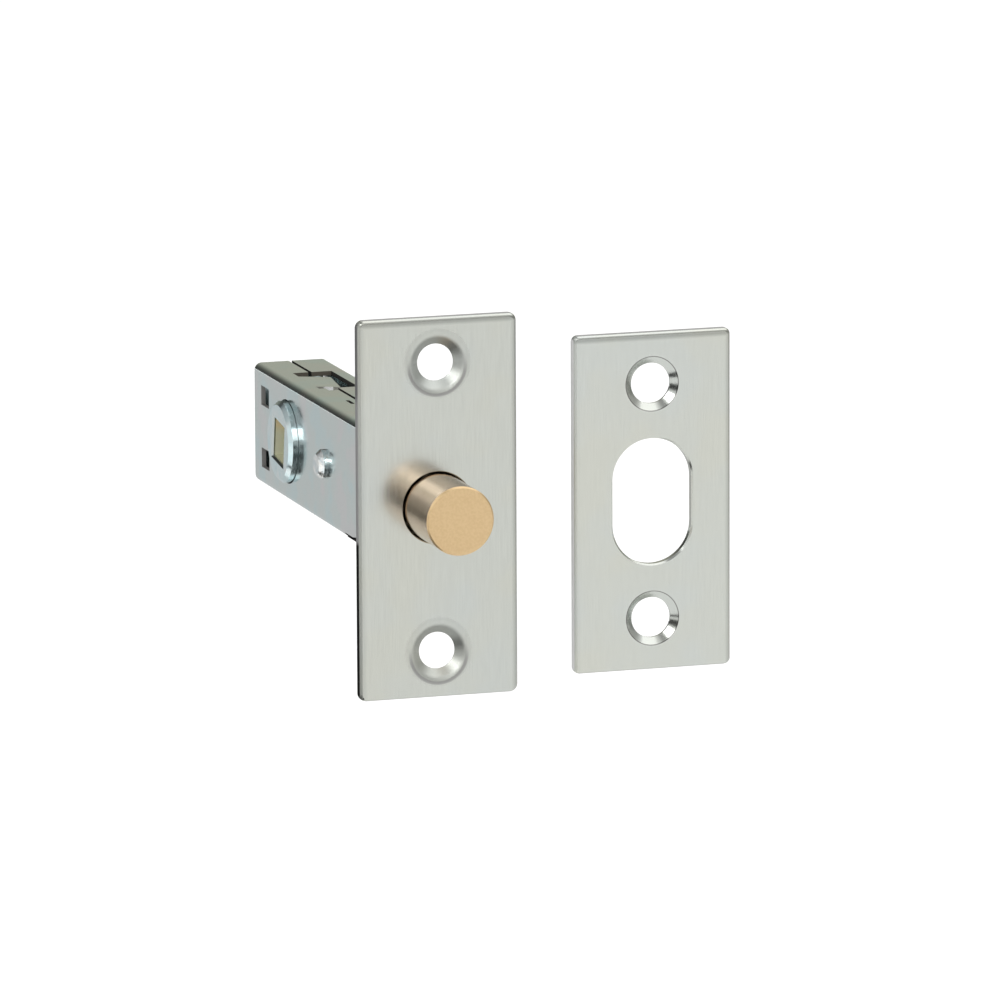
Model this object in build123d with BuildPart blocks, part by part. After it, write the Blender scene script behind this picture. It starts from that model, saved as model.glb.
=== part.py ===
from build123d import *
import os
from math import cos, radians, sin

# Mortice privacy bolt with its strike plate, in millimetres.
# The origin is the centre of the faceplate's back face, which seats on the edge of the door.
# +X is to the right, +Y into the door, +Z up. The bolt is thrown, as it is with the door locked.

# Faceplate: pressed stainless sheet
PLATE_WIDTH = 25.0
PLATE_HEIGHT = 58.0
PLATE_THICKNESS = 1.2
PLATE_CORNER_R = 1.2
PLATE_EDGE_R = 0.6
PLATE_SCREW_INSET = 7.0
PLATE_SCREW_D = 5.6
PLATE_SINK_D = 8.6
PLATE_SINK_ANGLE = 106.0
PLATE_SINK_LIP_R = 1.6
BOLT_HOLE_BEVEL = 0.15

# Strike plate, which stands beside the bolt in the faceplate's plane
STRIKE_WIDTH = 25.0
STRIKE_HEIGHT = 51.8
STRIKE_THICKNESS = 1.2
STRIKE_CORNER_R = 1.0
STRIKE_EDGE_R = 0.55
STRIKE_SCREW_INSET = 7.9
STRIKE_SCREW_D = 6.2
STRIKE_SINK_D = 8.4
STRIKE_SINK_ANGLE = 106.0
STRIKE_SLOT_HEIGHT = 19.3
STRIKE_SLOT_BEVEL = 0.25
STRIKE_GAP = 8.85
STRIKE_DROP = 1.1

# Bolt: turned brass, slotted at the back for its tail
BOLT_D = 10.5
BOLT_PROJECTION = 11.4
BOLT_THROW = 10.8
BOLT_END_CHAMFER = 0.25
BOLT_SLOT_DEPTH = 9.0
TAIL_PIN_D = 2.5
TAIL_PIN_INSET = 0.3

# Tail: steel plate, forked over the hub's core
TAIL_THICKNESS = 3.0
TAIL_NECK_HEIGHT = 8.0
TAIL_WEB = 2.0
TAIL_UPPER_REACH = 3.0
TAIL_TINE_LENGTH = 2.2
POCKET_MOUTH = 0.4

# Hub: follower with a boss at each side, a grooved core and one finger
BACKSET = 60.0
HUB_TURN = 90.0
HUB_BOSS_D = 12.8
HUB_BOSS_PROUD = 1.5
HUB_BOSS_BEVEL = 0.6
HUB_FLANGE_D = 15.4
HUB_CORE_D = 10.2
SPINDLE_SIZE = 6.0
SPINDLE_TILT = 8.0
SPINDLE_MOUTH = 0.3
FINGER_TIP_R = 0.9
FINGER_THICKNESS = 1.7

# Guide pin across the case
GUIDE_PIN_TO_HUB = 20.2
GUIDE_PIN_D = 4.0
GUIDE_PIN_END_D = 3.2
GUIDE_PIN_HEAD_D = 4.6
GUIDE_PIN_HEAD = 1.3
GUIDE_PIN_HEAD_BEVEL = 0.7

# Case: folded sheet steel
SHEET = 0.7
BEND_R = 1.15
CASE_BEHIND_HUB = 18.0
SEAM_GAP = 0.55
SEAM_X = -0.2
TONGUE_ROOT = 3.0
TONGUE_REACH = 5.2
TONGUE_FRONT_REACH = 4.0
TONGUE_LENGTH = 9.5
TONGUE_AHEAD_OF_HUB = 0.95
TONGUE_BEND = 4.0
TONGUE_REAR_RELIEF = 3.2
TONGUE_FRONT_RELIEF = 1.9
TONGUE_TIP_GAP = 1.1
TONGUE_SLOT_LENGTH = 3.8
TONGUE_SLOT_WIDTH = 1.8
WINDOW_LENGTH = 4.3
WINDOW_HEIGHT = 3.1
WINDOW_PITCH = 9.9
WINDOW_FROM_REAR = 3.7
STAKE_LENGTH = 3.2
STAKE_WIDTH = 0.6
STAKE_FROM_SEAM = 1.6
STAKE_AHEAD_OF_PIN = 0.1
CORNER_CUT_END = 27.9
CORNER_CUT_START = 10.0
CORNER_CUT_HEIGHT = 3.0
CORNER_LIP_INSET = 0.55
FOOT_LENGTH = 4.0
FOOT_WIDTH = 7.0
FOOT_BEND_R = 0.8
FLAP_GAP = 0.3

# Fits and clearances
BOLT_HOLE_CLEARANCE = 0.2
BOLT_SIDE_CLEARANCE = 0.1
STRIKE_SIDE_CLEARANCE = 1.0
SPINDLE_CLEARANCE = 0.1
HUB_BOSS_CLEARANCE = 0.2
HUB_END_FLOAT = 0.15
CORE_CLEARANCE = 0.3
TAIL_SIDE_CLEARANCE = 0.3
TAIL_TONGUE_CLEARANCE = 0.1
FINGER_SLOT_CLEARANCE = 0.5
FINGER_FLOOR_CLEARANCE = 0.2
FINGER_WALL_CLEARANCE = 0.2
GUIDE_SLOT_CLEARANCE = 0.1
GUIDE_SLOT_END = 0.3

# The hub's finger moves the tail by the throw, so its radius follows from the throw and the turn,
# and the finger's sweep sets the height inside the case
crank_r = BOLT_THROW / (2 * sin(radians(HUB_TURN / 2)))
inner_width = BOLT_D + 2 * BOLT_SIDE_CLEARANCE
inner_height = 2 * (crank_r + FINGER_TIP_R + FINGER_WALL_CLEARANCE)
case_width = inner_width + 2 * SHEET
case_height = inner_height + 2 * SHEET
wall_mid_z = (case_height - SHEET) / 2

# The backset places the hub, and the case, the guide pin and the bolt's length follow the hub
hub_y = BACKSET - PLATE_THICKNESS
case_length = hub_y + CASE_BEHIND_HUB
pin_y = hub_y - GUIDE_PIN_TO_HUB
guide_slot_half = GUIDE_PIN_D / 2 + GUIDE_SLOT_CLEARANCE
bolt_front = -(PLATE_THICKNESS + BOLT_PROJECTION)
bolt_rear = pin_y - BOLT_THROW - GUIDE_SLOT_END - guide_slot_half - TAIL_WEB
groove_half = TAIL_THICKNESS / 2 + TAIL_SIDE_CLEARANCE
fork_half = HUB_CORE_D / 2 + CORE_CLEARANCE
tongue_drop = TONGUE_REACH * sin(radians(TONGUE_BEND))
tail_half = inner_height / 2 - tongue_drop - TAIL_TONGUE_CLEARANCE
pocket_y = hub_y - BOLT_THROW / 2
pocket_half = FINGER_TIP_R + FINGER_SLOT_CLEARANCE
strike_x = (PLATE_WIDTH + STRIKE_WIDTH) / 2 + STRIKE_GAP
plate_screw_spacing = PLATE_HEIGHT - 2 * PLATE_SCREW_INSET
strike_screw_spacing = STRIKE_HEIGHT - 2 * STRIKE_SCREW_INSET

os.makedirs("parts", exist_ok=True)

# Faceplate: rounded front edge, clear hole for the bolt, sunk screw holes with a soft pressed lip
with BuildPart() as faceplate:
    with BuildSketch(Plane.XZ):
        RectangleRounded(PLATE_WIDTH, PLATE_HEIGHT, PLATE_CORNER_R)
    extrude(amount=PLATE_THICKNESS)
    with Locations(Plane.XZ.offset(PLATE_THICKNESS)):
        with GridLocations(0, plate_screw_spacing, 1, 2):
            CounterSinkHole(PLATE_SCREW_D / 2, PLATE_SINK_D / 2, counter_sink_angle=PLATE_SINK_ANGLE)
    fillet(faceplate.faces().sort_by(Axis.Y)[0].inner_wires().edges(), PLATE_SINK_LIP_R)
    with Locations(Plane.XZ.offset(PLATE_THICKNESS)):
        Hole(BOLT_D / 2 + BOLT_HOLE_CLEARANCE)
    plate_front = faceplate.faces().sort_by(Axis.Y)[0]
    chamfer(plate_front.inner_wires().sort_by_distance((0, 0, 0))[0].edges(), BOLT_HOLE_BEVEL)
    fillet(plate_front.outer_wire().edges(), PLATE_EDGE_R)
faceplate.part.label = "faceplate"
export_step(faceplate.part, "parts/faceplate.step")

# Strike plate: the same sheet with crisp sinks and a long slot that takes the bolt
with BuildPart() as strike_plate:
    with BuildSketch(Plane.XZ):
        with Locations((strike_x, -STRIKE_DROP)):
            RectangleRounded(STRIKE_WIDTH, STRIKE_HEIGHT, STRIKE_CORNER_R)
            SlotOverall(
                STRIKE_SLOT_HEIGHT, BOLT_D + 2 * STRIKE_SIDE_CLEARANCE, rotation=90, mode=Mode.SUBTRACT
            )
    extrude(amount=STRIKE_THICKNESS)
    strike_front = strike_plate.faces().sort_by(Axis.Y)[0]
    fillet(strike_front.outer_wire().edges(), STRIKE_EDGE_R)
    chamfer(strike_front.inner_wires().edges(), STRIKE_SLOT_BEVEL)
    with Locations(Plane.XZ.offset(STRIKE_THICKNESS)):
        with Locations((strike_x, -STRIKE_DROP)):
            with GridLocations(0, strike_screw_spacing, 1, 2):
                CounterSinkHole(STRIKE_SCREW_D / 2, STRIKE_SINK_D / 2, counter_sink_angle=STRIKE_SINK_ANGLE)
strike_plate.part.label = "strike_plate"
export_step(strike_plate.part, "parts/strike_plate.step")

# Case: a folded tube whose roof halves meet at a seam
with BuildPart() as case:
    with BuildSketch(Plane.XZ):
        RectangleRounded(case_width, case_height, BEND_R)
        RectangleRounded(inner_width, inner_height, BEND_R - SHEET, mode=Mode.SUBTRACT)
    extrude(amount=-case_length)

    # Feet bent out of the floor and the roof, welded to the back of the faceplate
    foot_reach = FOOT_BEND_R + 2 * SHEET
    for side in (-1, 1):
        with Locations((0, foot_reach / 2, side * wall_mid_z)):
            Box(FOOT_WIDTH, foot_reach, 2 * SHEET, mode=Mode.SUBTRACT)
        with BuildSketch(Plane.YZ.offset(-FOOT_WIDTH / 2)):
            with BuildLine():
                FilletPolyline(
                    (foot_reach, side * wall_mid_z),
                    (SHEET / 2, side * wall_mid_z),
                    (SHEET / 2, side * (case_height / 2 + FOOT_LENGTH)),
                    radius=FOOT_BEND_R + SHEET / 2,
                )
            trace(line_width=SHEET)
        extrude(amount=FOOT_WIDTH)

    # Seam along the roof
    with Locations((SEAM_X, case_length / 2, case_height / 2)):
        Box(SEAM_GAP, case_length, 2 * (FOOT_LENGTH + SHEET), mode=Mode.SUBTRACT)

    # Tongue lanced out of the left half of the roof and bent down onto the tail as its friction spring
    tongue_y = hub_y - TONGUE_AHEAD_OF_HUB
    notch_width = TONGUE_REACH + TONGUE_TIP_GAP
    notch_length = TONGUE_LENGTH + TONGUE_REAR_RELIEF + TONGUE_FRONT_RELIEF
    notch_y = tongue_y + (TONGUE_REAR_RELIEF - TONGUE_FRONT_RELIEF) / 2
    with Locations((notch_width / 2 - TONGUE_ROOT, notch_y, wall_mid_z)):
        Box(notch_width, notch_length, 2 * SHEET, mode=Mode.SUBTRACT)
    slot_y = tongue_y - (TONGUE_LENGTH + TONGUE_SLOT_LENGTH) / 2
    with Locations((SEAM_X - TONGUE_SLOT_WIDTH / 2, slot_y, wall_mid_z)):
        Box(TONGUE_SLOT_WIDTH, TONGUE_SLOT_LENGTH, 2 * SHEET, mode=Mode.SUBTRACT)
    bend_cos, bend_sin = cos(radians(TONGUE_BEND)), sin(radians(TONGUE_BEND))
    tongue_plane = Plane(
        origin=(-TONGUE_ROOT, tongue_y, case_height / 2),
        x_dir=(bend_cos, 0, -bend_sin),
        z_dir=(bend_sin, 0, bend_cos),
    )
    with BuildSketch(tongue_plane):
        with BuildLine():
            Polyline(
                (0, -TONGUE_LENGTH / 2),
                (TONGUE_FRONT_REACH, -TONGUE_LENGTH / 2),
                (TONGUE_REACH, TONGUE_LENGTH / 2),
                (0, TONGUE_LENGTH / 2),
                close=True,
            )
        make_face()
    extrude(amount=-SHEET)

    # Rear flap folded up from the floor
    flap_width = inner_width - 2 * FLAP_GAP
    flap_reach = BEND_R + SHEET
    with Locations((0, case_length - flap_reach / 2, -wall_mid_z)):
        Box(inner_width, flap_reach, 2 * SHEET, mode=Mode.SUBTRACT)
    with BuildSketch(Plane.YZ.offset(-flap_width / 2)):
        with BuildLine():
            FilletPolyline(
                (case_length - flap_reach, -wall_mid_z),
                (case_length - SHEET / 2, -wall_mid_z),
                (case_length - SHEET / 2, inner_height / 2 - FLAP_GAP),
                radius=BEND_R - SHEET / 2,
            )
        trace(line_width=SHEET)
    extrude(amount=flap_width)

    # Holes through both sides: hub bosses, guide pin and the windows near the rear
    with Locations((0, hub_y, 0)):
        Cylinder(HUB_BOSS_D / 2 + HUB_BOSS_CLEARANCE, case_width, rotation=(0, 90, 0), mode=Mode.SUBTRACT)
    with Locations((0, pin_y, 0)):
        Cylinder(GUIDE_PIN_END_D / 2, case_width, rotation=(0, 90, 0), mode=Mode.SUBTRACT)
    for side in (-1, 1):
        with Locations((0, case_length - WINDOW_FROM_REAR - WINDOW_LENGTH / 2, side * WINDOW_PITCH / 2)):
            Box(case_width, WINDOW_LENGTH, WINDOW_HEIGHT, mode=Mode.SUBTRACT)

    # Stake slit beside the seam
    with BuildSketch(Plane.XY.offset(case_height / 2)):
        with Locations((SEAM_X - STAKE_FROM_SEAM, pin_y - STAKE_AHEAD_OF_PIN)):
            SlotOverall(STAKE_LENGTH, STAKE_WIDTH, rotation=90)
    extrude(amount=-2 * SHEET, mode=Mode.SUBTRACT)

    # Tapered cuts along the two lower bends, with the floor left flat below each as a square lip
    floor_z = -case_height / 2
    cut_length = CORNER_CUT_END - CORNER_CUT_START
    lip_width = BEND_R - CORNER_LIP_INSET
    lip_x = case_width / 2 - BEND_R + lip_width / 2
    for side in (-1, 1):
        with BuildSketch(Plane.YZ.offset(side * (case_width / 2 - BEND_R))):
            with BuildLine():
                Polyline(
                    (CORNER_CUT_END, floor_z),
                    (CORNER_CUT_START, floor_z),
                    (CORNER_CUT_START, floor_z + CORNER_CUT_HEIGHT),
                    close=True,
                )
            make_face()
        extrude(amount=side * BEND_R, mode=Mode.SUBTRACT)
        with Locations((side * lip_x, CORNER_CUT_START + cut_length / 2, floor_z + SHEET / 2)):
            Box(lip_width, cut_length, SHEET)
case.part.label = "case"
export_step(case.part, "parts/case.step")

# Guide pin: its shoulders hold the sides apart and its ends are peened outside them
with BuildPart() as guide_pin:
    with BuildSketch(Plane.XY.move(Location((0, pin_y, 0)))):
        with Locations((0, GUIDE_PIN_D / 4)):
            Rectangle(inner_width, GUIDE_PIN_D / 2)
        with Locations((0, GUIDE_PIN_END_D / 4)):
            Rectangle(case_width, GUIDE_PIN_END_D / 2)
        for side in (-1, 1):
            with Locations((side * (case_width + GUIDE_PIN_HEAD) / 2, GUIDE_PIN_HEAD_D / 4)):
                Rectangle(GUIDE_PIN_HEAD, GUIDE_PIN_HEAD_D / 2)
    revolve(axis=Axis((0, pin_y, 0), (1, 0, 0)))
    for end_face in (guide_pin.faces().sort_by(Axis.X)[0], guide_pin.faces().sort_by(Axis.X)[-1]):
        chamfer(end_face.edges(), GUIDE_PIN_HEAD_BEVEL)
guide_pin.part.label = "guide_pin"
export_step(guide_pin.part, "parts/guide_pin.step")

# Bolt: round bar with chamfered ends, sawn at the back for the tail and cross drilled for its pin
with BuildPart() as bolt:
    with BuildSketch(Plane.XZ.offset(-bolt_front)):
        Circle(BOLT_D / 2)
    extrude(amount=bolt_front - bolt_rear)
    chamfer(bolt.edges().filter_by(GeomType.CIRCLE), BOLT_END_CHAMFER)
    with Locations((0, bolt_rear - BOLT_SLOT_DEPTH / 2, 0)):
        Box(TAIL_THICKNESS, BOLT_SLOT_DEPTH, BOLT_D, mode=Mode.SUBTRACT)
        Cylinder(TAIL_PIN_D / 2, BOLT_D, rotation=(0, 90, 0), mode=Mode.SUBTRACT)
bolt.part.label = "bolt"
export_step(bolt.part, "parts/bolt.step")

# Tail: neck in the bolt's slot, guide slot on the pin, fork over the hub's core,
# and a pocket in the lower arm for the hub's finger
with BuildPart() as bolt_tail:
    neck_front = bolt_rear - BOLT_SLOT_DEPTH
    upper_end = hub_y + TAIL_UPPER_REACH
    lower_end = pocket_y + pocket_half + TAIL_TINE_LENGTH
    fork_front = pocket_y - BOLT_THROW / 2
    with BuildSketch(Plane.YZ.offset(-TAIL_THICKNESS / 2)):
        with Locations(((neck_front + bolt_rear) / 2, 0)):
            Rectangle(BOLT_SLOT_DEPTH, TAIL_NECK_HEIGHT)
        with Locations(((bolt_rear + upper_end) / 2, 0)):
            Rectangle(upper_end - bolt_rear, 2 * tail_half)
        with Locations((pin_y - BOLT_THROW / 2, 0)):
            SlotCenterToCenter(
                BOLT_THROW + 2 * GUIDE_SLOT_END, 2 * guide_slot_half, mode=Mode.SUBTRACT
            )
        with Locations((fork_front, 0)):
            Circle(fork_half, mode=Mode.SUBTRACT)
        with Locations(((fork_front + upper_end) / 2, 0)):
            Rectangle(upper_end - fork_front, 2 * fork_half, mode=Mode.SUBTRACT)
        with Locations(((lower_end + upper_end) / 2, -tail_half / 2)):
            Rectangle(upper_end - lower_end, tail_half, mode=Mode.SUBTRACT)
    extrude(amount=TAIL_THICKNESS)
    with Locations((0, (neck_front + bolt_rear) / 2, 0)):
        Cylinder(TAIL_PIN_D / 2, TAIL_THICKNESS, rotation=(0, 90, 0), mode=Mode.SUBTRACT)
    with BuildSketch(Plane.YZ.offset(-TAIL_THICKNESS / 2)):
        with BuildLine():
            Polyline(
                (pocket_y - pocket_half - POCKET_MOUTH, -fork_half),
                (pocket_y - pocket_half, -fork_half - POCKET_MOUTH),
                (pocket_y - pocket_half, -tail_half),
                (pocket_y + pocket_half, -tail_half),
                (pocket_y + pocket_half, -fork_half - POCKET_MOUTH),
                (pocket_y + pocket_half + POCKET_MOUTH, -fork_half),
                close=True,
            )
        make_face()
    extrude(amount=FINGER_THICKNESS + FINGER_FLOOR_CLEARANCE - TAIL_SIDE_CLEARANCE, mode=Mode.SUBTRACT)
bolt_tail.part.label = "bolt_tail"
export_step(bolt_tail.part, "parts/bolt_tail.step")

# Tail pin: pressed through the bolt and the tail's neck
with BuildPart() as tail_pin:
    with Locations((0, bolt_rear - BOLT_SLOT_DEPTH / 2, 0)):
        Cylinder(TAIL_PIN_D / 2, BOLT_D - 2 * TAIL_PIN_INSET, rotation=(0, 90, 0))
tail_pin.part.label = "tail_pin"
export_step(tail_pin.part, "parts/tail_pin.step")

# Hub: bosses in the case sides, flanges inside them, a grooved core for the tail's fork,
# the finger beside the left flange and the square spindle hole right through
with BuildPart() as hub:
    boss_end = case_width / 2 + HUB_BOSS_PROUD
    flange_end = inner_width / 2 - HUB_END_FLOAT
    with BuildSketch(Plane.XY.move(Location((0, hub_y, 0)))):
        with BuildLine():
            Polyline(
                (-boss_end, 0),
                (-boss_end, HUB_BOSS_D / 2),
                (-flange_end, HUB_BOSS_D / 2),
                (-flange_end, HUB_FLANGE_D / 2),
                (-groove_half, HUB_FLANGE_D / 2),
                (-groove_half, HUB_CORE_D / 2),
                (groove_half, HUB_CORE_D / 2),
                (groove_half, HUB_FLANGE_D / 2),
                (flange_end, HUB_FLANGE_D / 2),
                (flange_end, HUB_BOSS_D / 2),
                (boss_end, HUB_BOSS_D / 2),
                (boss_end, 0),
                close=True,
            )
        make_face()
    revolve(axis=Axis((0, hub_y, 0), (1, 0, 0)))
    boss_faces = (hub.faces().sort_by(Axis.X)[0], hub.faces().sort_by(Axis.X)[-1])
    for boss_face in boss_faces:
        chamfer(boss_face.edges(), HUB_BOSS_BEVEL)
    finger_angle = 270 - HUB_TURN / 2
    finger_mid = (
        hub_y + crank_r / 2 * cos(radians(finger_angle)),
        crank_r / 2 * sin(radians(finger_angle)),
    )
    with BuildSketch(Plane.YZ.offset(-groove_half)):
        with Locations(finger_mid):
            SlotCenterToCenter(crank_r, 2 * FINGER_TIP_R, rotation=finger_angle)
    extrude(amount=FINGER_THICKNESS)
    spindle_hole = SPINDLE_SIZE + 2 * SPINDLE_CLEARANCE
    with Locations((0, hub_y, 0)):
        Box(2 * boss_end, spindle_hole, spindle_hole, rotation=(SPINDLE_TILT, 0, 0), mode=Mode.SUBTRACT)
    for boss_face in (hub.faces().sort_by(Axis.X)[0], hub.faces().sort_by(Axis.X)[-1]):
        chamfer(boss_face.inner_wires().edges(), SPINDLE_MOUTH)
hub.part.label = "hub"
export_step(hub.part, "parts/hub.step")
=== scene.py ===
from math import cos, radians, sin

import bpy
from mathutils import Matrix, Vector


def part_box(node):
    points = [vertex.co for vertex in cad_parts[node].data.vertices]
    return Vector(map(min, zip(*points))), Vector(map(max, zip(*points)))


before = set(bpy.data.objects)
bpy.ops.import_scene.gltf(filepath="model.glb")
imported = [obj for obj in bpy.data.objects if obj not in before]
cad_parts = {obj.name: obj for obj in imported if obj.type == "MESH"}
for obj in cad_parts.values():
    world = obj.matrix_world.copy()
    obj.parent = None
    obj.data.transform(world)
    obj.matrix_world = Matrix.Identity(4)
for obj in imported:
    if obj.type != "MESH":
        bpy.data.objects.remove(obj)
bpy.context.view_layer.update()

# Case: the folded box that holds the works.
# It is cold-rolled sheet with a bright zinc plate, so it mirrors its surroundings softly and shows
# faint rolling marks and a slight bloom. Its cut edges are dull. Painted shade darkens its inside
# walls, the roof's cut sides and the cut below its front; the roof's cut ends carry a painted brown
# reflection, and part of the tongue's front edge a painted highlight.

HAIR = 0.00002  # the width over which one painted tone goes over into the next
CASE_HALF_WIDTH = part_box("case")[1].x
CASE_HALF_HEIGHT = 0.009437
CASE_SHEET = 0.0007
WALL_INNER = CASE_HALF_WIDTH - CASE_SHEET
ROOF_INNER = CASE_HALF_HEIGHT - CASE_SHEET
LIP_END = 0.0279
TONGUE_FRONT = 0.0531
TONGUE_HIGHLIGHT_SPAN = (-0.0016, -0.0003)
EDGE_ON = (0.4, 0.2)
FACE_ON = (0.5, 0.8)
STREAK_SPAN = (0.3, 0.7)
SHEET_ROUGH = (0.12, 0.18)
CUT_ROUGH = 0.4
INSIDE_SHADE_GREY = (0.2, 0.2, 0.19)
WALL_CUT_GREY = (0.34, 0.335, 0.325)
ROOF_CUT_SHADE = (0.06, 0.06, 0.055)
ROOF_END_REFLECTION_BROWN = (0.15, 0.135, 0.11)
TONGUE_GREY = (0.36, 0.36, 0.32)
HIGHLIGHT_WHITE = (1.0, 1.0, 1.0)
LIP_SHADOW_BLACK = (0.012, 0.012, 0.012)


def add(tree, kind, **settings):
    made = tree.nodes.new("ShaderNode" + kind)
    for name, value in settings.items():
        setattr(made, name, value)
    return made


def calc(tree, operation, first, second=None):
    made = add(tree, "Math", operation=operation)
    for socket, value in zip(made.inputs, (first, second)):
        if isinstance(value, (int, float)):
            socket.default_value = value
        elif value is not None:
            tree.links.new(value, socket)
    return made.outputs[0]


def overlap(tree, mask, *others):
    for other in others:
        mask = calc(tree, "MULTIPLY", mask, other)
    return mask


def ramp(tree, value, low, high, out_low=0.0, out_high=1.0):
    made = add(tree, "MapRange", interpolation_type="SMOOTHSTEP")
    tree.links.new(value, made.inputs["Value"])
    for name, amount in (("From Min", low), ("From Max", high), ("To Min", out_low), ("To Max", out_high)):
        made.inputs[name].default_value = amount
    return made.outputs["Result"]


def between(tree, value, low, high, soft):
    return overlap(tree, ramp(tree, value, low - soft, low), ramp(tree, value, high + soft, high))


def blend_colour(tree, share, first, second, how="MIX"):
    # A Mix node has its share at input 0, its two colours at 6 and 7, and its colour at output 2.
    made = add(tree, "Mix", data_type="RGBA", blend_type=how)
    for socket, value in ((made.inputs[0], share), (made.inputs[6], first), (made.inputs[7], second)):
        if isinstance(value, tuple):
            socket.default_value = (*value, 1.0)
        else:
            tree.links.new(value, socket)
    return made.outputs[2]


def split(tree, vector):
    made = add(tree, "SeparateXYZ")
    tree.links.new(vector, made.inputs[0])
    return made.outputs


def group_shell(name, inputs, outputs):
    tree = bpy.data.node_groups.new(name, "ShaderNodeTree")
    for label, kind, start in inputs:
        socket = tree.interface.new_socket(label, in_out="INPUT", socket_type=kind)
        socket.default_value = start
    for label, kind in outputs:
        tree.interface.new_socket(label, in_out="OUTPUT", socket_type=kind)
    return tree, tree.nodes.new("NodeGroupInput").outputs, tree.nodes.new("NodeGroupOutput").inputs


# Streaks left by rolling, brushing or turning: noise drawn out by its scale along each axis.
streaks, given, result = group_shell(
    "metal_streaks",
    [("Place", "NodeSocketVector", (0, 0, 0)), ("Scale", "NodeSocketVector", (1, 1, 1))],
    [("Streak", "NodeSocketFloat")],
)
stretched = add(streaks, "VectorMath", operation="MULTIPLY")
streaks.links.new(given["Place"], stretched.inputs[0])
streaks.links.new(given["Scale"], stretched.inputs[1])
lines = add(streaks, "TexNoise")
lines.inputs["Scale"].default_value = 1.0
lines.inputs["Detail"].default_value = 3.0
streaks.links.new(stretched.outputs[0], lines.inputs["Vector"])
streaks.links.new(lines.outputs[0], result["Streak"])

# Bloom of a plated surface: slow patches that pull the colour to one side or the other.
COOL_PATCH = (0.48, 0.36)
WARM_PATCH = (0.52, 0.64)
MID_GREY = (0.5, 0.5, 0.5, 1)
bloom, given, result = group_shell(
    "plating_bloom",
    [
        ("Place", "NodeSocketVector", (0, 0, 0)),
        ("Scale", "NodeSocketFloat", 100.0),
        ("Plain", "NodeSocketColor", MID_GREY),
        ("Cool", "NodeSocketColor", MID_GREY),
        ("Warm", "NodeSocketColor", MID_GREY),
    ],
    [("Colour", "NodeSocketColor")],
)
cloud = add(bloom, "TexNoise")
cloud.inputs["Detail"].default_value = 2.0
bloom.links.new(given["Place"], cloud.inputs["Vector"])
bloom.links.new(given["Scale"], cloud.inputs["Scale"])
patch = cloud.outputs[0]
cooled = blend_colour(bloom, ramp(bloom, patch, *COOL_PATCH), given["Plain"], given["Cool"])
warmed = blend_colour(bloom, ramp(bloom, patch, *WARM_PATCH), cooled, given["Warm"])
bloom.links.new(warmed, result["Colour"])


def metal(name):
    material = bpy.data.materials.new(name)
    material.use_nodes = True
    tree = material.node_tree
    shader = tree.nodes["Principled BSDF"]
    shader.inputs["Metallic"].default_value = 1.0
    place = add(tree, "TexCoord").outputs["Object"]
    return material, tree, shader, place


def place_group(tree, group, place, **values):
    made = tree.nodes.new("ShaderNodeGroup")
    made.node_tree = group
    tree.links.new(place, made.inputs["Place"])
    for label, value in values.items():
        made.inputs[label].default_value = value
    return made.outputs[0]


def bump(tree, shader, height, depth, strength):
    made = add(tree, "Bump")
    made.inputs["Strength"].default_value = strength
    made.inputs["Distance"].default_value = depth
    tree.links.new(height, made.inputs["Height"])
    tree.links.new(made.outputs["Normal"], shader.inputs["Normal"])


def dress(node_name, material):
    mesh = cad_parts[node_name].data
    mesh.materials.clear()
    mesh.materials.append(material)


sheet, tree, shader, place = metal("zinc_plated_sheet")
tint = place_group(
    tree, bloom, place, Scale=130.0,
    Plain=(0.63, 0.70, 0.69, 1), Cool=(0.59, 0.71, 0.72, 1), Warm=(0.67, 0.69, 0.69, 1),
)
rolling = place_group(tree, streaks, place, Scale=(2500.0, 180.0, 2500.0))
at = split(tree, place)
facing = split(tree, add(tree, "TexCoord").outputs["Normal"])
across = calc(tree, "ABSOLUTE", at["X"])
height = calc(tree, "ABSOLUTE", at["Z"])
facing_side = calc(tree, "ABSOLUTE", facing["X"])
facing_end = calc(tree, "ABSOLUTE", facing["Y"])
facing_up = calc(tree, "ABSOLUTE", facing["Z"])

wall_cut = overlap(
    tree,
    ramp(tree, across, WALL_INNER - HAIR, WALL_INNER),
    ramp(tree, height, ROOF_INNER, ROOF_INNER - HAIR),
    ramp(tree, facing_side, *EDGE_ON),
)
roof_cut = overlap(
    tree,
    between(tree, height, ROOF_INNER - CASE_SHEET + HAIR, CASE_HALF_HEIGHT + HAIR, HAIR),
    ramp(tree, across, WALL_INNER, WALL_INNER - HAIR),
    ramp(tree, facing_up, *EDGE_ON),
)
tongue_cut = overlap(
    tree, roof_cut, between(tree, at["Y"], TONGUE_FRONT - 2 * HAIR, TONGUE_FRONT + 2 * HAIR, HAIR)
)
# Painted shade: the walls' cut at the bottom front corner is painted near black.
lip = overlap(
    tree,
    between(tree, across, WALL_INNER, CASE_HALF_WIDTH - 3 * HAIR, HAIR),
    ramp(tree, at["Z"], HAIR - ROOF_INNER, -ROOF_INNER),
    ramp(tree, at["Y"], LIP_END + HAIR, LIP_END),
)
# Painted shade: the inner faces of the side walls are painted dark grey.
inside = overlap(
    tree, ramp(tree, across, WALL_INNER + 3 * HAIR, WALL_INNER + HAIR), ramp(tree, facing_side, *FACE_ON)
)
# Painted highlight: a short stretch of the tongue's front cut face is painted white.
tongue_highlight = between(tree, at["X"], *TONGUE_HIGHLIGHT_SPAN, 10 * HAIR)

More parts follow.
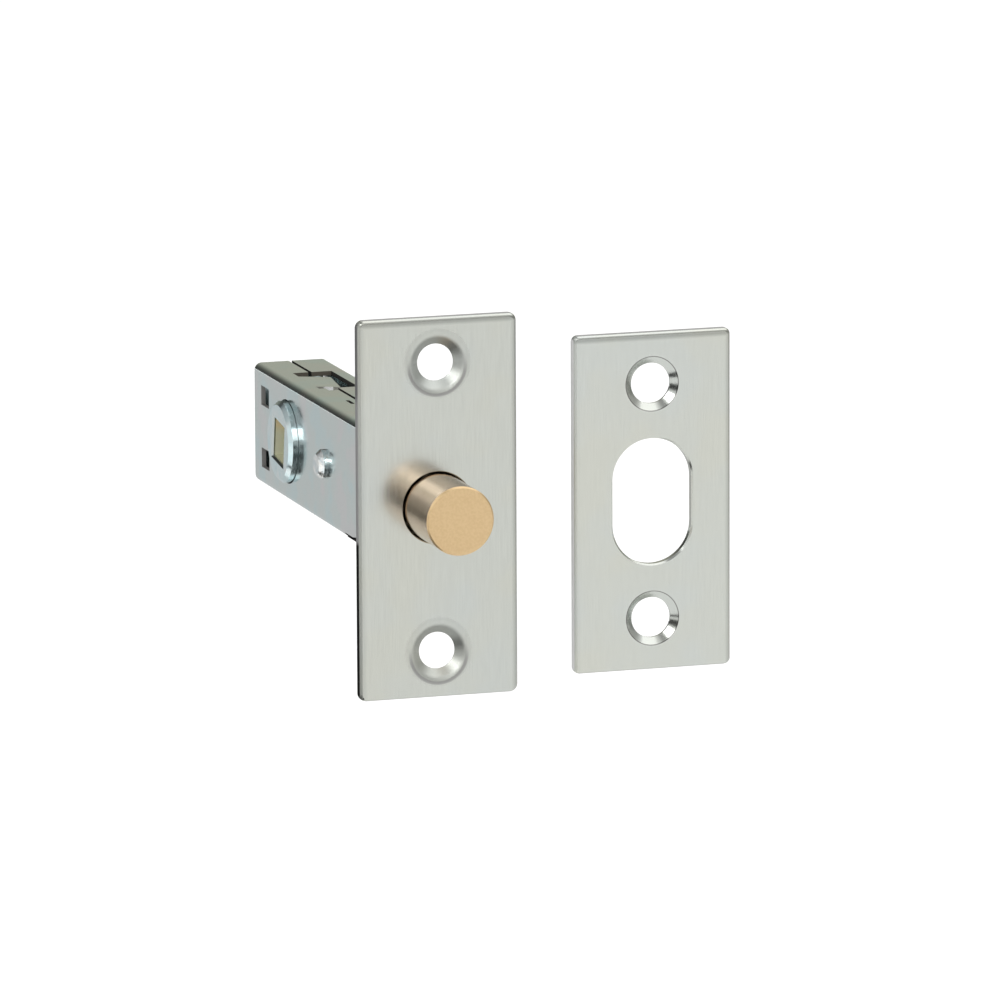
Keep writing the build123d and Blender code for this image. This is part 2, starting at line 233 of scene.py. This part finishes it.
tone = blend_colour(tree, inside, tint, INSIDE_SHADE_GREY)
tone = blend_colour(tree, wall_cut, tone, WALL_CUT_GREY)
# Painted shade and reflection: the roof's cut faces that face sideways are painted near black as shade in
# the seam, notch and gaps, and those that face the ends are painted brown as a reflection.
roof_cut_shade_tone = blend_colour(tree, ramp(tree, facing_end, *FACE_ON), ROOF_CUT_SHADE, ROOF_END_REFLECTION_BROWN)
tone = blend_colour(tree, roof_cut, tone, roof_cut_shade_tone)
tone = blend_colour(tree, tongue_cut, tone, blend_colour(tree, tongue_highlight, TONGUE_GREY, HIGHLIGHT_WHITE))
tone = blend_colour(tree, lip, tone, LIP_SHADOW_BLACK)
tree.links.new(tone, shader.inputs["Base Color"])
dull = calc(tree, "MAXIMUM", lip, calc(tree, "MAXIMUM", wall_cut, roof_cut))
rolled_rough = ramp(tree, rolling, *STREAK_SPAN, *SHEET_ROUGH)
cut_rough = calc(tree, "MULTIPLY", dull, CUT_ROUGH)
tree.links.new(calc(tree, "ADD", rolled_rough, cut_rough), shader.inputs["Roughness"])
tree.links.new(ramp(tree, dull, 0.0, 1.0, 1.0, 0.0), shader.inputs["Metallic"])
shader.inputs["Specular IOR Level"].default_value = 0.0
bump(tree, shader, rolling, depth=0.000003, strength=0.3)
dress("case", sheet)

# Guide pin, tail and tail pin: the steel pieces that run between the case's sides.
# They are turned or blanked steel with a bright, slightly crystalline zinc plate,
# and the pin's ends are peened over outside the case.

GRAIN_SPAN = (0.35, 0.65)
ZINC_ROUGH = (0.14, 0.26)


def grain(tree, place, scale, detail):
    made = add(tree, "TexNoise")
    made.inputs["Scale"].default_value = scale
    made.inputs["Detail"].default_value = detail
    tree.links.new(place, made.inputs["Vector"])
    return made.outputs[0]


zinc, tree, shader, place = metal("bright_zinc")
tint = place_group(
    tree, bloom, place, Scale=900.0,
    Plain=(0.80, 0.84, 0.84, 1), Cool=(0.66, 0.74, 0.76, 1), Warm=(0.88, 0.89, 0.86, 1),
)
crystals = grain(tree, place, scale=2600.0, detail=2.0)
tree.links.new(tint, shader.inputs["Base Color"])
tree.links.new(ramp(tree, crystals, *GRAIN_SPAN, *ZINC_ROUGH), shader.inputs["Roughness"])
bump(tree, shader, crystals, depth=0.00006, strength=0.8)
for piece in ("guide_pin", "bolt_tail", "tail_pin"):
    dress(piece, zinc)

# Hub: the follower that the spindle turns, with a boss in each side of the case.
# It is brass with a bright zinc plate outside. The square hole was broached after plating
# and shows bare brass.

HUB_CENTRE = (0.0, 0.0588, 0.0)
HUB_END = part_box("hub")[1].x
SPINDLE_TILT = radians(8.0)
SPINDLE_HALF = 0.0031
PLATED_LIP = 0.0005
MOUTH_BEVEL = 0.0003
PLATED_ROUGH = (0.13, 0.22)
BARE_ROUGH = 0.4
BARE_METALLIC = 0.3
MOUTH_GREY = (0.42, 0.46, 0.45)
BRASS_LOW = (0.77, 0.79, 0.64)
BRASS_HIGH = (0.90, 0.74, 0.45)

hub_finish, tree, shader, place = metal("plated_brass")
tint = place_group(
    tree, bloom, place, Scale=420.0,
    Plain=(0.66, 0.79, 0.81, 1), Cool=(0.61, 0.76, 0.79, 1), Warm=(0.71, 0.80, 0.81, 1),
)
centred = add(tree, "Mapping", vector_type="TEXTURE")
centred.inputs["Location"].default_value = HUB_CENTRE
centred.inputs["Rotation"].default_value = (SPINDLE_TILT, 0.0, 0.0)
tree.links.new(place, centred.inputs["Vector"])
at = split(tree, centred.outputs[0])
square = calc(tree, "MAXIMUM", calc(tree, "ABSOLUTE", at["Y"]), calc(tree, "ABSOLUTE", at["Z"]))
broached_end = HUB_END - PLATED_LIP
bare = overlap(
    tree,
    ramp(tree, square, SPINDLE_HALF + 4 * HAIR, SPINDLE_HALF + HAIR),
    ramp(tree, calc(tree, "ABSOLUTE", at["X"]), broached_end, broached_end - 4 * HAIR),
)
mouth = ramp(tree, square, SPINDLE_HALF + MOUTH_BEVEL + HAIR, SPINDLE_HALF + MOUTH_BEVEL - HAIR)
plated_tone = blend_colour(tree, mouth, tint, MOUTH_GREY)
brass_tone = blend_colour(tree, ramp(tree, at["Z"], 0.0, SPINDLE_HALF), BRASS_LOW, BRASS_HIGH)
tree.links.new(blend_colour(tree, bare, plated_tone, brass_tone), shader.inputs["Base Color"])
crystals = grain(tree, place, scale=1800.0, detail=2.0)
plated_rough = ramp(tree, crystals, *GRAIN_SPAN, *PLATED_ROUGH)
bare_rough = calc(tree, "MULTIPLY", bare, BARE_ROUGH)
tree.links.new(calc(tree, "ADD", plated_rough, bare_rough), shader.inputs["Roughness"])
tree.links.new(ramp(tree, bare, 0.0, 1.0, 1.0, BARE_METALLIC), shader.inputs["Metallic"])
bump(tree, shader, crystals, depth=0.00003, strength=0.4)
dress("hub", hub_finish)

# Bolt: the round bar that goes into the strike.
# It is turned brass: fine rings round its side, and a faced end with a dull fine grain.

BOLT_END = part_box("bolt")[0].y
END_CHAMFER = 0.00025
FACED_FADE = (1.2 * END_CHAMFER, 0.9 * END_CHAMFER)
RING_ROUGH = (0.13, 0.18)
FACED_ROUGH = 0.27
RING_DARK = (0.71, 0.55, 0.41)
RING_LIGHT = (0.76, 0.595, 0.45)
FACED_DARK = (0.645, 0.468, 0.262)
FACED_LIGHT = (0.685, 0.505, 0.288)

brass, tree, shader, place = metal("turned_brass")
at = split(tree, place)
rings = place_group(tree, streaks, place, Scale=(160.0, 5200.0, 160.0))
speckle = grain(tree, place, scale=2600.0, detail=4.0)
faced = ramp(tree, at["Y"], BOLT_END + FACED_FADE[0], BOLT_END + FACED_FADE[1])
ring_tone = blend_colour(tree, ramp(tree, rings, *GRAIN_SPAN), RING_DARK, RING_LIGHT)
faced_tone = blend_colour(tree, ramp(tree, speckle, *GRAIN_SPAN), FACED_DARK, FACED_LIGHT)
tree.links.new(blend_colour(tree, faced, ring_tone, faced_tone), shader.inputs["Base Color"])
ring_rough = ramp(tree, rings, *STREAK_SPAN, *RING_ROUGH)
faced_rough = calc(tree, "MULTIPLY", faced, FACED_ROUGH)
tree.links.new(calc(tree, "ADD", faced_rough, ring_rough), shader.inputs["Roughness"])
faced_marks = calc(tree, "MULTIPLY", faced, speckle)
ring_marks = calc(tree, "MULTIPLY", calc(tree, "SUBTRACT", 1.0, faced), rings)
bump(tree, shader, calc(tree, "ADD", faced_marks, ring_marks), depth=0.000005, strength=0.4)
dress("bolt", brass)

# Faceplate: the plate that is screwed to the edge of the door, with the case fixed behind it.
# It is pressed stainless sheet, brushed along its height. The rounded front edge and the sinks
# are pressed, and the sheared sides stay darker than the brushed face. Painted shade darkens the
# sinks, a ring round their lips, the rounded edges, and the left side low down and near the top.

FILLET = 0.0006
LEFT_ROLL = 0.0014
RIGHT_ROLL = 0.0011
RIGHT_SHADE = 0.3
TOP_SHADE = 0.35
BOTTOM_SHADE = 0.45
FILLET_ROUGH = 0.35
SINK_FADE = 1.15
SATIN_ROUGH = (0.18, 0.23)
STROKE_GREY = (0.7, 0.7, 0.7)
END_GREY = (0.42, 0.42, 0.41)
BLACK = (0.0, 0.0, 0.0)


def reach(tree, first, second):
    squares = [calc(tree, "MULTIPLY", side, side) for side in (first, second)]
    return calc(tree, "SQRT", calc(tree, "ADD", *squares))


def brushed_plate(name, node_name, plain, contrast, left_shade, screw_height, sink_r, sink_rough):
    low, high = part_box(node_name)
    middle, half = (low + high) / 2, (high - low) / 2
    material, tree, shader, place = metal(name)
    local = add(tree, "VectorMath", operation="SUBTRACT")
    tree.links.new(place, local.inputs[0])
    local.inputs[1].default_value = middle
    at = split(tree, local.outputs[0])
    across, rise = at["X"], at["Z"]
    front = ramp(tree, at["Y"], half.y - 2 * HAIR, half.y - 5 * HAIR)
    side = ramp(tree, calc(tree, "ABSOLUTE", across), half.x - 8 * HAIR, half.x - 4 * HAIR)
    end = ramp(tree, calc(tree, "ABSOLUTE", rise), half.z - 4 * HAIR, half.z - 2 * HAIR)
    outward = calc(tree, "SUBTRACT", calc(tree, "ABSOLUTE", rise), screw_height)
    above_screw = calc(tree, "MULTIPLY", outward, calc(tree, "SIGN", rise))
    from_screw = reach(tree, outward, across)
    sink = overlap(tree, front, ramp(tree, from_screw, SINK_FADE * sink_r, sink_r))

    brushing = place_group(tree, streaks, place, Scale=(9000.0, 9000.0, 220.0))
    tint = place_group(
        tree, bloom, place, Scale=70.0,
        Plain=(0.97 * plain, plain, 0.93 * plain, 1),
        Cool=(0.96 * plain, plain, 0.95 * plain, 1),
        Warm=(0.98 * plain, plain, 0.91 * plain, 1),
    )
    stroke = ramp(tree, brushing, *STREAK_SPAN, 0.0, contrast)
    scored = blend_colour(tree, stroke, tint, STROKE_GREY, how="MULTIPLY")
    # Painted shade: the face is darkened towards its rounded left, right, top and bottom edges.
    side_edge_shade = calc(
        tree, "MAXIMUM",
        ramp(tree, across, LEFT_ROLL - half.x, FILLET - half.x, 0.0, left_shade),
        ramp(tree, across, half.x - RIGHT_ROLL, half.x - 10 * HAIR, 0.0, RIGHT_SHADE),
    )
    top_edge_shade = overlap(
        tree,
        ramp(tree, rise, half.z - LEFT_ROLL, half.z - FILLET - 5 * HAIR, 0.0, TOP_SHADE),
        ramp(tree, rise, half.z - FILLET + 5 * HAIR, half.z - FILLET),
    )
    bottom_edge_shade = ramp(tree, rise, 12 * HAIR - half.z, 3 * HAIR - half.z, 0.0, BOTTOM_SHADE)
    end_edge_shade = calc(tree, "MAXIMUM", top_edge_shade, bottom_edge_shade)
    edge_shade = overlap(tree, front, calc(tree, "MAXIMUM", side_edge_shade, end_edge_shade))
    face_tone = blend_colour(tree, end, blend_colour(tree, edge_shade, scored, BLACK), END_GREY)

    fillet_rough = overlap(
        tree, front, ramp(tree, across, FILLET - half.x, FILLET - 5 * HAIR - half.x, 0.0, FILLET_ROUGH)
    )
    extra_rough = calc(tree, "ADD", fillet_rough, calc(tree, "MULTIPLY", sink, sink_rough))
    satin_rough = ramp(tree, brushing, *STREAK_SPAN, *SATIN_ROUGH)
    tree.links.new(calc(tree, "ADD", satin_rough, extra_rough), shader.inputs["Roughness"])
    sheared = calc(tree, "MAXIMUM", side, end)
    tree.links.new(ramp(tree, sheared, 0.0, 1.0, 1.0, 0.0), shader.inputs["Metallic"])
    shader.inputs["Specular IOR Level"].default_value = 0.0
    bump(tree, shader, brushing, depth=0.000003, strength=2.0 * contrast)
    dress(node_name, material)
    masks = {
        "side": side, "front": front, "across": across, "rise": rise,
        "from_screw": from_screw, "above_screw": above_screw,
    }
    return tree, shader, face_tone, masks


FACE_SINK_R = 0.0048
SINK_WALL = (0.0044, 0.0037)
SINK_UPPER = (-0.0015, 0.0015)
SINK_SHADE = 0.4
LIP_R = 0.0044
LIP_DROP = 0.0004
LIP_FADE = (0.001, -0.002)
LIP_SHADE_GREY = (0.33, 0.33, 0.32)
UPPER_SIDE = (0.016, 0.018)
UPPER_LEFT_SIDE_SHADE = (0.19, 0.19, 0.19)
LOWER_SIDE = (-0.0053, -0.0043)
LOWER_LEFT_SIDE_SHADOW = (0.015, 0.015, 0.015)
SIDE_GREY = (0.33, 0.33, 0.33)

tree, shader, face_tone, masks = brushed_plate(
    "satin_faceplate", "faceplate", plain=0.527, contrast=0.12, left_shade=0.12,
    screw_height=0.022, sink_r=FACE_SINK_R, sink_rough=0.2,
)
# Painted shade: the upper half of each sink's wall is darkened.
sink_shade = overlap(
    tree, masks["front"],
    ramp(tree, masks["from_screw"], *SINK_WALL),
    ramp(tree, masks["above_screw"], *SINK_UPPER, 0.0, SINK_SHADE),
)
sink_shaded = blend_colour(tree, sink_shade, face_tone, BLACK)
# Painted shade: a grey ring is painted round each sink's lip, fading out towards its top.
ring = reach(tree, calc(tree, "ADD", masks["above_screw"], LIP_DROP), masks["across"])
lip_shade_line = overlap(
    tree, masks["front"],
    between(tree, ring, LIP_R - 4 * HAIR, LIP_R + 8 * HAIR, 12 * HAIR),
    ramp(tree, masks["above_screw"], *LIP_FADE),
)
lined = blend_colour(tree, lip_shade_line, sink_shaded, LIP_SHADE_GREY)
# Painted shade: the left sheared side is painted near black low down and darker grey near its top, while
# the right side keeps the plain sheared grey.
upper_left_shade = blend_colour(tree, ramp(tree, masks["rise"], *UPPER_SIDE), SIDE_GREY, UPPER_LEFT_SIDE_SHADE)
left_side_shade = blend_colour(tree, ramp(tree, masks["rise"], *LOWER_SIDE), LOWER_LEFT_SIDE_SHADOW, upper_left_shade)
side_tone = blend_colour(tree, ramp(tree, masks["across"], HAIR, -HAIR), SIDE_GREY, left_side_shade)
tree.links.new(blend_colour(tree, masks["side"], lined, side_tone), shader.inputs["Base Color"])

# Strike plate: the keep that is screwed to the door frame and takes the end of the bolt.
# It is brushed stainless like the faceplate. Its sinks are cut, with a sharp line round each,
# and its sheared sides stay pale.

STRIKE_SINK_R = 0.0042
SINK_LINE_GREY = (0.22, 0.22, 0.21)
STRIKE_SIDE_GREY = (0.78, 0.78, 0.78)

tree, shader, face_tone, masks = brushed_plate(
    "satin_strike", "strike_plate", plain=0.548, contrast=0.06, left_shade=0.03,
    screw_height=0.018, sink_r=STRIKE_SINK_R, sink_rough=-0.04,
)
sink_line = overlap(
    tree, masks["front"],
    between(tree, masks["from_screw"], STRIKE_SINK_R - 4 * HAIR, STRIKE_SINK_R + HAIR, 2 * HAIR),
)
lined = blend_colour(tree, sink_line, face_tone, SINK_LINE_GREY)
tree.links.new(blend_colour(tree, masks["side"], lined, STRIKE_SIDE_GREY), shader.inputs["Base Color"])

# Studio floor: a wide sheet of pale paper below the bolt.
# It is lit as paper is, and lifted to white where the lens or bright metal sees it.

FLOOR_Z = -0.1
FLOOR_HALF = 6.0
PAPER_GREY = (0.82, 0.82, 0.82, 1.0)
PAPER_WHITE = (1.0, 1.0, 1.0, 1.0)
PAPER_LIFT = 0.43

floor_mesh = bpy.data.meshes.new("studio_floor")
floor_mesh.from_pydata(
    [(x * FLOOR_HALF, y * FLOOR_HALF, FLOOR_Z) for x, y in ((-1, -1), (1, -1), (1, 1), (-1, 1))],
    [],
    [(0, 1, 2, 3)],
)
floor = bpy.data.objects.new("studio_floor", floor_mesh)
bpy.context.scene.collection.objects.link(floor)
paper = bpy.data.materials.new("pale_paper")
paper.use_nodes = True
tree = paper.node_tree
tree.nodes.remove(tree.nodes["Principled BSDF"])
matte = add(tree, "BsdfDiffuse")
matte.inputs["Color"].default_value = PAPER_GREY
lift = add(tree, "Emission")
lift.inputs["Color"].default_value = PAPER_WHITE
path = add(tree, "LightPath")
mirrored = calc(tree, "MAXIMUM", path.outputs["Is Glossy Ray"], path.outputs["Is Transmission Ray"])
seen = calc(tree, "MAXIMUM", path.outputs["Is Camera Ray"], mirrored)
tree.links.new(calc(tree, "MULTIPLY", seen, PAPER_LIFT), lift.inputs["Strength"])
both = add(tree, "AddShader")
tree.links.new(matte.outputs[0], both.inputs[0])
tree.links.new(lift.outputs[0], both.inputs[1])
tree.links.new(both.outputs[0], tree.nodes["Material Output"].inputs["Surface"])
floor_mesh.materials.append(paper)

# Studio room: it is dark behind on the left, pale at the left, grey in front and at the right,
# and warm behind on the right. A small bright screen stands in front, and the ceiling is white
# over the right half and grey over the left.

BACK_COMES = (radians(-25.0), radians(15.0))
BACK_GOES = (radians(100.0), radians(60.0))
FRONT_EDGE = (radians(80.0), radians(50.0))
SCREEN_WIDTH = (radians(-9.0), radians(14.0))
SCREEN_EDGE = radians(4.0)
SCREEN_RISE = (0.12, 0.4)
SCREEN_FADE = 0.06
LEFT_WALL = (radians(-120.0), radians(-65.0))
RIGHT_WALL = (radians(80.0), radians(125.0))
WALL_FADE = radians(20.0)
CEILING_EDGE = (0.4, 0.62)
CEILING_SPLIT = (0.0, -0.2)
ROOM_DARK = (0.03, 0.03, 0.03)
FRONT_GREY = (0.5, 0.5, 0.49)
SCREEN_WHITE = (1.0, 1.0, 0.98)
LEFT_PALE = (0.9, 0.9, 0.9)
RIGHT_GREY = (0.55, 0.55, 0.54)
BACK_WARM = (0.43, 0.43, 0.36)
CEILING_WHITE = (1.0, 1.0, 1.0)
CEILING_GREY = (0.45, 0.45, 0.45)

room = bpy.data.worlds.new("studio_room")
bpy.context.scene.world = room
room.use_nodes = True
tree = room.node_tree
toward = split(tree, add(tree, "TexCoord").outputs["Generated"])
bearing = calc(tree, "ARCTAN2", toward["X"], toward["Y"])
from_front = calc(tree, "ARCTAN2", toward["X"], calc(tree, "MULTIPLY", toward["Y"], -1.0))
in_front = ramp(tree, calc(tree, "ABSOLUTE", from_front), *FRONT_EDGE)
screen = overlap(
    tree,
    between(tree, from_front, *SCREEN_WIDTH, SCREEN_EDGE),
    between(tree, toward["Z"], *SCREEN_RISE, SCREEN_FADE),
)
at_back = overlap(tree, ramp(tree, bearing, *BACK_COMES), ramp(tree, bearing, *BACK_GOES))
belt = blend_colour(tree, in_front, ROOM_DARK, FRONT_GREY)
belt = blend_colour(tree, screen, belt, SCREEN_WHITE)
belt = blend_colour(tree, between(tree, bearing, *LEFT_WALL, WALL_FADE), belt, LEFT_PALE)
belt = blend_colour(tree, between(tree, bearing, *RIGHT_WALL, WALL_FADE), belt, RIGHT_GREY)
belt = blend_colour(tree, at_back, belt, BACK_WARM)
ceiling = blend_colour(tree, ramp(tree, toward["X"], *CEILING_SPLIT), CEILING_WHITE, CEILING_GREY)
overhead = ramp(tree, toward["Z"], *CEILING_EDGE)
tree.links.new(blend_colour(tree, overhead, belt, ceiling), tree.nodes["Background"].inputs["Color"])
tree.nodes["Background"].inputs["Strength"].default_value = 1.0

# Studio lights: soft panels overhead, in front and at the left, all turned to the bolt.
# The left panel only shows in bright metal and lights nothing matte.

for panel_name, width, depth, power, spot, lights_matte in (
    ("overhead_panel", 1.6, 1.6, 6.0, (0.7, -0.3, 1.5), True),
    ("front_panel", 0.35, 0.3, 0.75, (-0.132, -1.881, 0.668), True),
    ("tall_panel", 0.42, 1.05, 3.0, (-0.682, -1.646, 0.908), True),
    ("left_panel", 1.0, 0.8, 9.0, (-1.12, -1.25, 1.09), False),
):
    panel_data = bpy.data.lights.new(panel_name, "AREA")
    panel_data.shape = "RECTANGLE"
    panel_data.size = width
    panel_data.size_y = depth
    panel_data.energy = power
    panel = bpy.data.objects.new(panel_name, panel_data)
    panel.location = spot
    panel.visible_diffuse = lights_matte
    panel.rotation_euler = (-panel.location).to_track_quat("-Z", "Y").to_euler()
    bpy.context.scene.collection.objects.link(panel)

# Studio cards: plain cards round the bolt that glow with their own fixed tone, and show in its bright
# metal and nowhere else. Dark ones stand in front and at the left, a pale one stands at the right, a dark
# one lies below the case as a painted shadow of the bolt, and a grey one lies on the floor behind.

CARD_DISTANCE = 0.5
UNDER_SHADOW_CARD_Z = -0.04
UNDER_SHADOW_OUTLINE = (
    (-0.095, -0.16), (-0.062, -0.16), (-0.02, -0.025), (-0.0135, -0.015),
    (-0.0135, 0.06), (-0.05, 0.06), (-0.055, -0.01),
)
BEHIND_CARD_Z = FLOOR_Z + 0.001
BEHIND_OUTLINE = ((-1.5, 0.12), (0.1, 0.12), (0.1, 1.5), (-1.5, 1.5))


def standing_card(bearing, half_width, foot, top):
    along = Vector((cos(bearing), -sin(bearing), 0.0)) * half_width
    middle = Vector((-sin(bearing), -cos(bearing), 0.0)) * CARD_DISTANCE
    return [
        middle + side * along + Vector((0, 0, height))
        for side, height in ((-1, foot), (1, foot), (1, top), (-1, top))
    ]


for card_name, shade, corners in (
    ("front_card", 0.02, standing_card(radians(19.0), 0.062, FLOOR_Z, -0.01)),
    ("left_card", 0.02, standing_card(radians(53.0), 0.08, -0.03, 0.12)),
    ("right_card", 0.85, standing_card(radians(-86.0), 0.37, FLOOR_Z, 0.0)),
    # Painted shadow: a dark sheet below the case, mirrored by the metal in place of the bolt's shadow.
    ("under_shadow_card", 0.06, [(x, y, UNDER_SHADOW_CARD_Z) for x, y in UNDER_SHADOW_OUTLINE]),
    ("behind_card", 0.6, [(x, y, BEHIND_CARD_Z) for x, y in BEHIND_OUTLINE]),
):
    card_glow = bpy.data.materials.new(card_name)
    card_glow.use_nodes = True
    flat_tone = card_glow.node_tree.nodes["Principled BSDF"]
    flat_tone.inputs["Base Color"].default_value = (0.0, 0.0, 0.0, 1.0)
    flat_tone.inputs["Specular IOR Level"].default_value = 0.0
    flat_tone.inputs["Emission Color"].default_value = (shade, shade, shade, 1.0)
    flat_tone.inputs["Emission Strength"].default_value = 1.0
    card_mesh = bpy.data.meshes.new(card_name)
    card_mesh.from_pydata(corners, [], [range(len(corners))])
    card_mesh.materials.append(card_glow)
    card = bpy.data.objects.new(card_name, card_mesh)
    card.visible_camera = False
    card.visible_diffuse = False
    card.visible_shadow = False
    bpy.context.scene.collection.objects.link(card)

# Camera: a long lens to the left of the faceplate and a little above it.
# Its turn, rise and distance were fitted to the plate's edges, the screw holes, the bolt and the boss.

CAMERA_TURN = radians(17.483)
CAMERA_RISE = radians(10.804)
CAMERA_ROLL = radians(0.268)
CAMERA_SLIDE = 0.009646
CAMERA_LIFT = 0.000904
CAMERA_DISTANCE = 1.442
FOCAL_SHARE = 9.6119
SENSOR_WIDTH = 36.0

right = Vector((cos(CAMERA_TURN), -sin(CAMERA_TURN), 0.0))
up = Vector((sin(CAMERA_TURN) * sin(CAMERA_RISE), cos(CAMERA_TURN) * sin(CAMERA_RISE), cos(CAMERA_RISE)))
back = right.cross(up)
rolled_right = cos(CAMERA_ROLL) * right - sin(CAMERA_ROLL) * up
rolled_up = sin(CAMERA_ROLL) * right + cos(CAMERA_ROLL) * up
camera_data = bpy.data.cameras.new("camera")
camera_data.sensor_width = SENSOR_WIDTH
camera_data.lens = FOCAL_SHARE * SENSOR_WIDTH
camera_data.clip_start = 0.05
camera_data.clip_end = 50.0
camera = bpy.data.objects.new("camera", camera_data)
turn = Matrix((rolled_right, rolled_up, back)).transposed().to_4x4()
spot = back * CAMERA_DISTANCE + right * CAMERA_SLIDE + up * CAMERA_LIFT
camera.matrix_world = Matrix.Translation(spot) @ turn
bpy.context.scene.collection.objects.link(camera)
bpy.context.scene.camera = camera
bpy.context.scene.view_settings.view_transform = "Standard"

bpy.context.view_layer.update()
